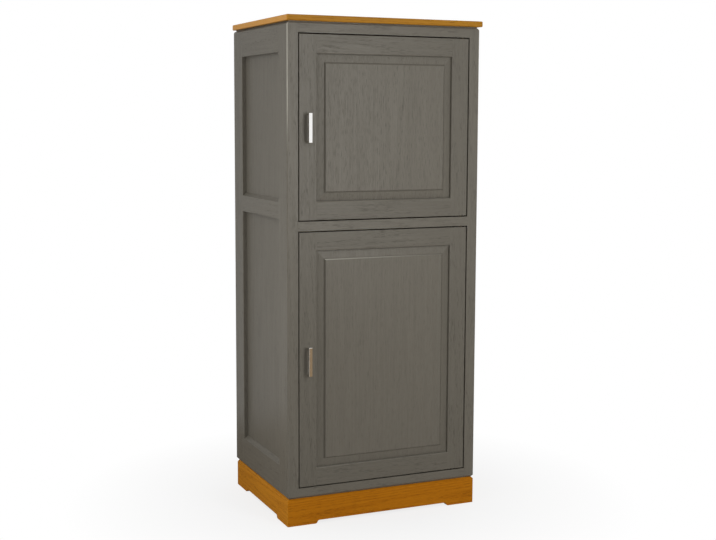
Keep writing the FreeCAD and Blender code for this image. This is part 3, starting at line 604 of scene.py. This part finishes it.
def moulded_plastic(look):
    """Brown plastic with a moulded pebble."""
    material, tree, shader = new_finish("catch_plastic")
    place = own_place(tree)
    pebble = node(
        tree, "ShaderNodeTexVoronoi", {"Vector": place, "Scale": 1.0 / look.plastic_pebble})
    fleck = noise(tree, place, FLECKS_PER_METRE, detail=3.0)
    bump = node(
        tree, "ShaderNodeBump",
        {"Height": pebble.outputs["Distance"], "Distance": look.plastic_relief, "Strength": 0.5})
    half = look.plastic_spread / 2
    smoothest = look.plastic_roughness - half
    roughest = look.plastic_roughness + half
    feed(tree, shader, {
        "Base Color": blend_colours(tree, fleck, opaque(look.plastic), opaque(look.plastic_fleck)),
        "Roughness": spread(tree, fleck, *UNEVEN_VALUES, smoothest, roughest),
        "Normal": bump.outputs["Normal"],
    })
    return material


# Stage
def seen_directly(tree):
    """1 for rays of the camera, of reflections and through glass, otherwise 0."""
    path = node(tree, "ShaderNodeLightPath").outputs
    mirrored = maths(tree, "MAXIMUM", path["Is Glossy Ray"], path["Is Transmission Ray"])
    return maths(tree, "MAXIMUM", path["Is Camera Ray"], mirrored)


def floor_finish(look):
    """Pale floor that keeps the cupboard's shadow and turns white further out."""
    material, tree, shader = new_finish("pale_floor")
    place = own_place(tree)
    reach = node(tree, "ShaderNodeVectorMath", {"Vector": place}, operation="LENGTH").outputs["Value"]
    away = spread(
        tree, reach, look.shadow_inner, look.shadow_outer, 1.0 - look.shadow_keep, 1.0)
    mottle = noise(tree, place, MOTTLES_PER_METRE, detail=4.0)
    darker = toned(look.floor_colour, MOTTLE_TONE)
    feed(tree, shader, {
        "Base Color": blend_colours(tree, mottle, opaque(look.floor_colour), darker),
        "Roughness": 0.9,
        "Specular IOR Level": 0.1,
    })
    white = node(tree, "ShaderNodeEmission", {"Color": WHITE, "Strength": 1.0})
    share = maths(tree, "MULTIPLY", seen_directly(tree), away)
    mixed = node(tree, "ShaderNodeMixShader", {"Fac": share})
    tree.links.new(shader.outputs["BSDF"], mixed.inputs[1])
    tree.links.new(white.outputs["Emission"], mixed.inputs[2])
    tree.links.new(mixed.outputs["Shader"], tree.nodes["Material Output"].inputs["Surface"])
    return material


def make_floor(look):
    """Lays a round floor under the cupboard and returns it."""
    mesh = bpy.data.meshes.new("floor")
    turn = 2 * math.pi / FLOOR_CORNERS
    corners = [
        (look.floor_radius * math.cos(step * turn), look.floor_radius * math.sin(step * turn), 0.0)
        for step in range(FLOOR_CORNERS)
    ]
    mesh.from_pydata(corners, [], [list(range(FLOOR_CORNERS))])
    floor = bpy.data.objects.new("floor", mesh)
    bpy.context.scene.collection.objects.link(floor)
    mesh.materials.append(floor_finish(look))
    return floor


def card_finish(look):
    """A warm glow that darkens to the left."""
    material, tree, shader = new_finish("warm_card")
    weave = noise(tree, own_place(tree), WEAVES_PER_METRE, detail=3.0)
    across = maths(tree, "ADD", place_parts(tree)["X"], weave)
    warmth = spread(tree, across, look.card_dark_end, look.card_warm_start)
    feed(tree, shader, {
        "Base Color": BLACK,
        "Specular IOR Level": 0.0,
        "Emission Color": blend_colours(tree, warmth, opaque(look.card_dark), opaque(look.card_colour)),
        "Emission Strength": 1.0,
    })
    return material


def make_card(look):
    """Lays a warm card on the floor that shows in mirrors only."""
    mesh = bpy.data.meshes.new("warm_card")
    half_width = look.card_width / 2
    half_length = look.card_length / 2
    corners = [
        (-half_width, -half_length, 0.0), (half_width, -half_length, 0.0),
        (half_width, half_length, 0.0), (-half_width, half_length, 0.0),
    ]
    mesh.from_pydata(corners, [], [[0, 1, 2, 3]])
    card = bpy.data.objects.new("warm_card", mesh)
    card.location = look.card_place
    card.visible_camera = False
    card.visible_diffuse = False
    card.visible_transmission = False
    card.visible_shadow = False
    bpy.context.scene.collection.objects.link(card)
    mesh.materials.append(card_finish(look))


def make_surround(look):
    """An even white surround, dimmer as a light than as a backdrop."""
    world = bpy.data.worlds.new("white_surround")
    world.use_nodes = True
    tree = world.node_tree
    tree.nodes.clear()
    fill = node(tree, "ShaderNodeBackground", {"Color": WHITE, "Strength": look.surround})
    white = node(tree, "ShaderNodeBackground", {"Color": WHITE, "Strength": 1.0})
    mixed = node(tree, "ShaderNodeMixShader", {"Fac": seen_directly(tree)})
    tree.links.new(fill.outputs["Background"], mixed.inputs[1])
    tree.links.new(white.outputs["Background"], mixed.inputs[2])
    output = node(tree, "ShaderNodeOutputWorld")
    tree.links.new(mixed.outputs["Shader"], output.inputs["Surface"])
    bpy.context.scene.world = world


def make_softbox(name, look):
    """Sets up a soft lamp that faces a point, from the stage's values with its name, and returns it."""
    lamp = bpy.data.lights.new(name + "_softbox", "AREA")
    lamp.shape = "RECTANGLE"
    lamp.size = getattr(look, name + "_width")
    lamp.size_y = getattr(look, name + "_height")
    lamp.energy = getattr(look, name + "_power")
    softbox = bpy.data.objects.new(name + "_softbox", lamp)
    bpy.context.scene.collection.objects.link(softbox)
    place = Vector(getattr(look, name + "_place"))
    aim = Vector(getattr(look, name + "_aim"))
    softbox.location = place
    softbox.visible_camera = False
    softbox.rotation_euler = (aim - place).to_track_quat("-Z", "Y").to_euler()
    return softbox


def spare(softbox, objects):
    """Keeps a lamp off some objects."""
    spared = bpy.data.collections.new(softbox.name + "_spares")
    for spared_object in objects:
        spared.objects.link(spared_object)
    for member in spared.collection_objects:
        member.light_linking.link_state = "EXCLUDE"
    softbox.light_linking.receiver_collection = spared


def make_camera(view):
    """Sets up the camera."""
    scene = bpy.context.scene
    camera = bpy.data.objects.new("camera", bpy.data.cameras.new("camera"))
    scene.collection.objects.link(camera)
    camera.data.lens = view.lens
    camera.data.shift_y = view.rise
    turned = (
        Matrix.Rotation(-view.heading, 4, "Z")
        @ Matrix.Rotation(math.pi / 2 - view.tilt, 4, "X")
        @ Matrix.Rotation(view.roll, 4, "Z")
    )
    camera.matrix_world = Matrix.Translation(view.place) @ turned
    scene.camera = camera


# Operators
def paint_boards(boards):
    """Paints each board along its own grain."""
    look = bpy.context.scene.cupboard_paint
    for along, names in boards.items():
        for name in names:
            dress(name, painted_oak(name, along, look))


class CUPBOARD_OT_paint_carcass(bpy.types.Operator):
    """Paint the front, side and back frames and the side panels"""

    bl_idname = "cupboard.paint_carcass"
    bl_label = "Paint carcass"

    def execute(self, context):
        paint_boards(CARCASS_BOARDS)
        return {"FINISHED"}


class CUPBOARD_OT_paint_doors(bpy.types.Operator):
    """Paint both doors, frames and raised panels"""

    bl_idname = "cupboard.paint_doors"
    bl_label = "Paint doors"

    def execute(self, context):
        paint_boards(DOOR_BOARDS)
        return {"FINISHED"}


class CUPBOARD_OT_stain_top_board(bpy.types.Operator):
    """Stain and varnish the top board"""

    bl_idname = "cupboard.stain_top_board"
    bl_label = "Stain top board"

    def execute(self, context):
        look = context.scene.cupboard_top
        board = clear_oak("top_board", "X", look, "honey")
        # Painted light on the board's ends.
        paint_lit_ends(board, look)
        dress("top_board", board)
        return {"FINISHED"}


class CUPBOARD_OT_stain_plinth(bpy.types.Operator):
    """Stain and varnish the plinth boards and their corner blocks"""

    bl_idname = "cupboard.stain_plinth"
    bl_label = "Stain plinth"

    def execute(self, context):
        for along, names in PLINTH_BOARDS.items():
            # The plinth's sides take the paler copy of the stain, as painted light.
            look = context.scene.cupboard_plinth_side if along == "Y" else context.scene.cupboard_plinth
            for name in names:
                dress(name, clear_oak(name, along, look, "honey"))
        return {"FINISHED"}


class CUPBOARD_OT_varnish_inside(bpy.types.Operator):
    """Varnish the fixed boards, the shelves and the back panel"""

    bl_idname = "cupboard.varnish_inside"
    bl_label = "Varnish inside"

    def execute(self, context):
        for along, names in INSIDE_BOARDS.items():
            for name in names:
                dress(name, clear_oak(name, along, context.scene.cupboard_inside, "inside"))
        return {"FINISHED"}


class CUPBOARD_OT_plate_handles(bpy.types.Operator):
    """Chrome the two bow handles"""

    bl_idname = "cupboard.plate_handles"
    bl_label = "Plate handles"

    def execute(self, context):
        look = context.scene.cupboard_fittings
        chrome = rubbed_metal("polished_chrome", look.chrome, look.chrome_roughness)
        for handle in HANDLES:
            dress(handle, chrome)
        return {"FINISHED"}


class CUPBOARD_OT_plate_hardware(bpy.types.Operator):
    """Finish the pivots, screws, pins, strike plates and catches"""

    bl_idname = "cupboard.plate_hardware"
    bl_label = "Plate hardware"

    def execute(self, context):
        look = context.scene.cupboard_fittings
        steel = rubbed_metal("zinc_steel", look.steel, look.steel_roughness)
        for name in STEEL_PIECES:
            dress(name, steel)
        brass = rubbed_metal("pivot_brass", look.brass, look.brass_roughness)
        for name in BRASS_PIECES:
            dress(name, brass)
        dress("magnetic_catches", moulded_plastic(look))
        return {"FINISHED"}


class CUPBOARD_OT_set_stage(bpy.types.Operator):
    """Lay the floor and set the surround, the lamps and the camera"""

    bl_idname = "cupboard.set_stage"
    bl_label = "Set stage"

    def execute(self, context):
        scene = context.scene
        look = scene.cupboard_stage
        floor = make_floor(look)
        make_card(look)
        make_surround(look)
        lamps = {name: make_softbox(name, look) for name in LAMPS}
        spare(lamps["key"], [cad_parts[handle] for handle in HANDLES])
        spare(lamps["side"], [floor] + [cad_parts[panel] for panel in DOOR_PANELS])
        spare(lamps["far"], [floor])
        make_camera(scene.cupboard_camera)
        scene.view_settings.view_transform = "Standard"
        return {"FINISHED"}


OPERATORS = (
    CUPBOARD_OT_paint_carcass,
    CUPBOARD_OT_paint_doors,
    CUPBOARD_OT_stain_top_board,
    CUPBOARD_OT_stain_plinth,
    CUPBOARD_OT_varnish_inside,
    CUPBOARD_OT_plate_handles,
    CUPBOARD_OT_plate_hardware,
    CUPBOARD_OT_set_stage,
)


class CUPBOARD_PT_workshop(bpy.types.Panel):
    """Lists the steps that finish the cupboard"""

    bl_idname = "CUPBOARD_PT_workshop"
    bl_label = "Painted Cupboard"
    bl_space_type = "VIEW_3D"
    bl_region_type = "UI"
    bl_category = "Cupboard"

    def draw(self, context):
        for operator in OPERATORS:
            self.layout.operator(operator.bl_idname)


LOOKS = {
    "cupboard_grain": OakGrain,
    "cupboard_paint": PaintLook,
    "cupboard_top": TopBoardLook,
    "cupboard_plinth": PlinthLook,
    "cupboard_plinth_side": LitPlinthSideLook,
    "cupboard_inside": InsideLook,
    "cupboard_fittings": FittingsLook,
    "cupboard_stage": StageLook,
    "cupboard_camera": CameraLook,
}


def register():
    """Registers the looks, the operators and the panel."""
    for group in (*LOOKS.values(), *OPERATORS, CUPBOARD_PT_workshop):
        bpy.utils.register_class(group)
    for name, group in LOOKS.items():
        setattr(bpy.types.Scene, name, PointerProperty(type=group))


def unregister():
    """Takes away all that register adds."""
    for name in LOOKS:
        delattr(bpy.types.Scene, name)
    for group in reversed((*LOOKS.values(), *OPERATORS, CUPBOARD_PT_workshop)):
        bpy.utils.unregister_class(group)


def main():
    """Finishes the cupboard piece by piece."""
    register()
    bpy.ops.cupboard.paint_carcass()
    bpy.ops.cupboard.paint_doors()
    bpy.ops.cupboard.stain_top_board()
    bpy.ops.cupboard.stain_plinth()
    bpy.ops.cupboard.varnish_inside()
    bpy.ops.cupboard.plate_handles()
    bpy.ops.cupboard.plate_hardware()
    bpy.ops.cupboard.set_stage()


if __name__ == "__main__":
    main()
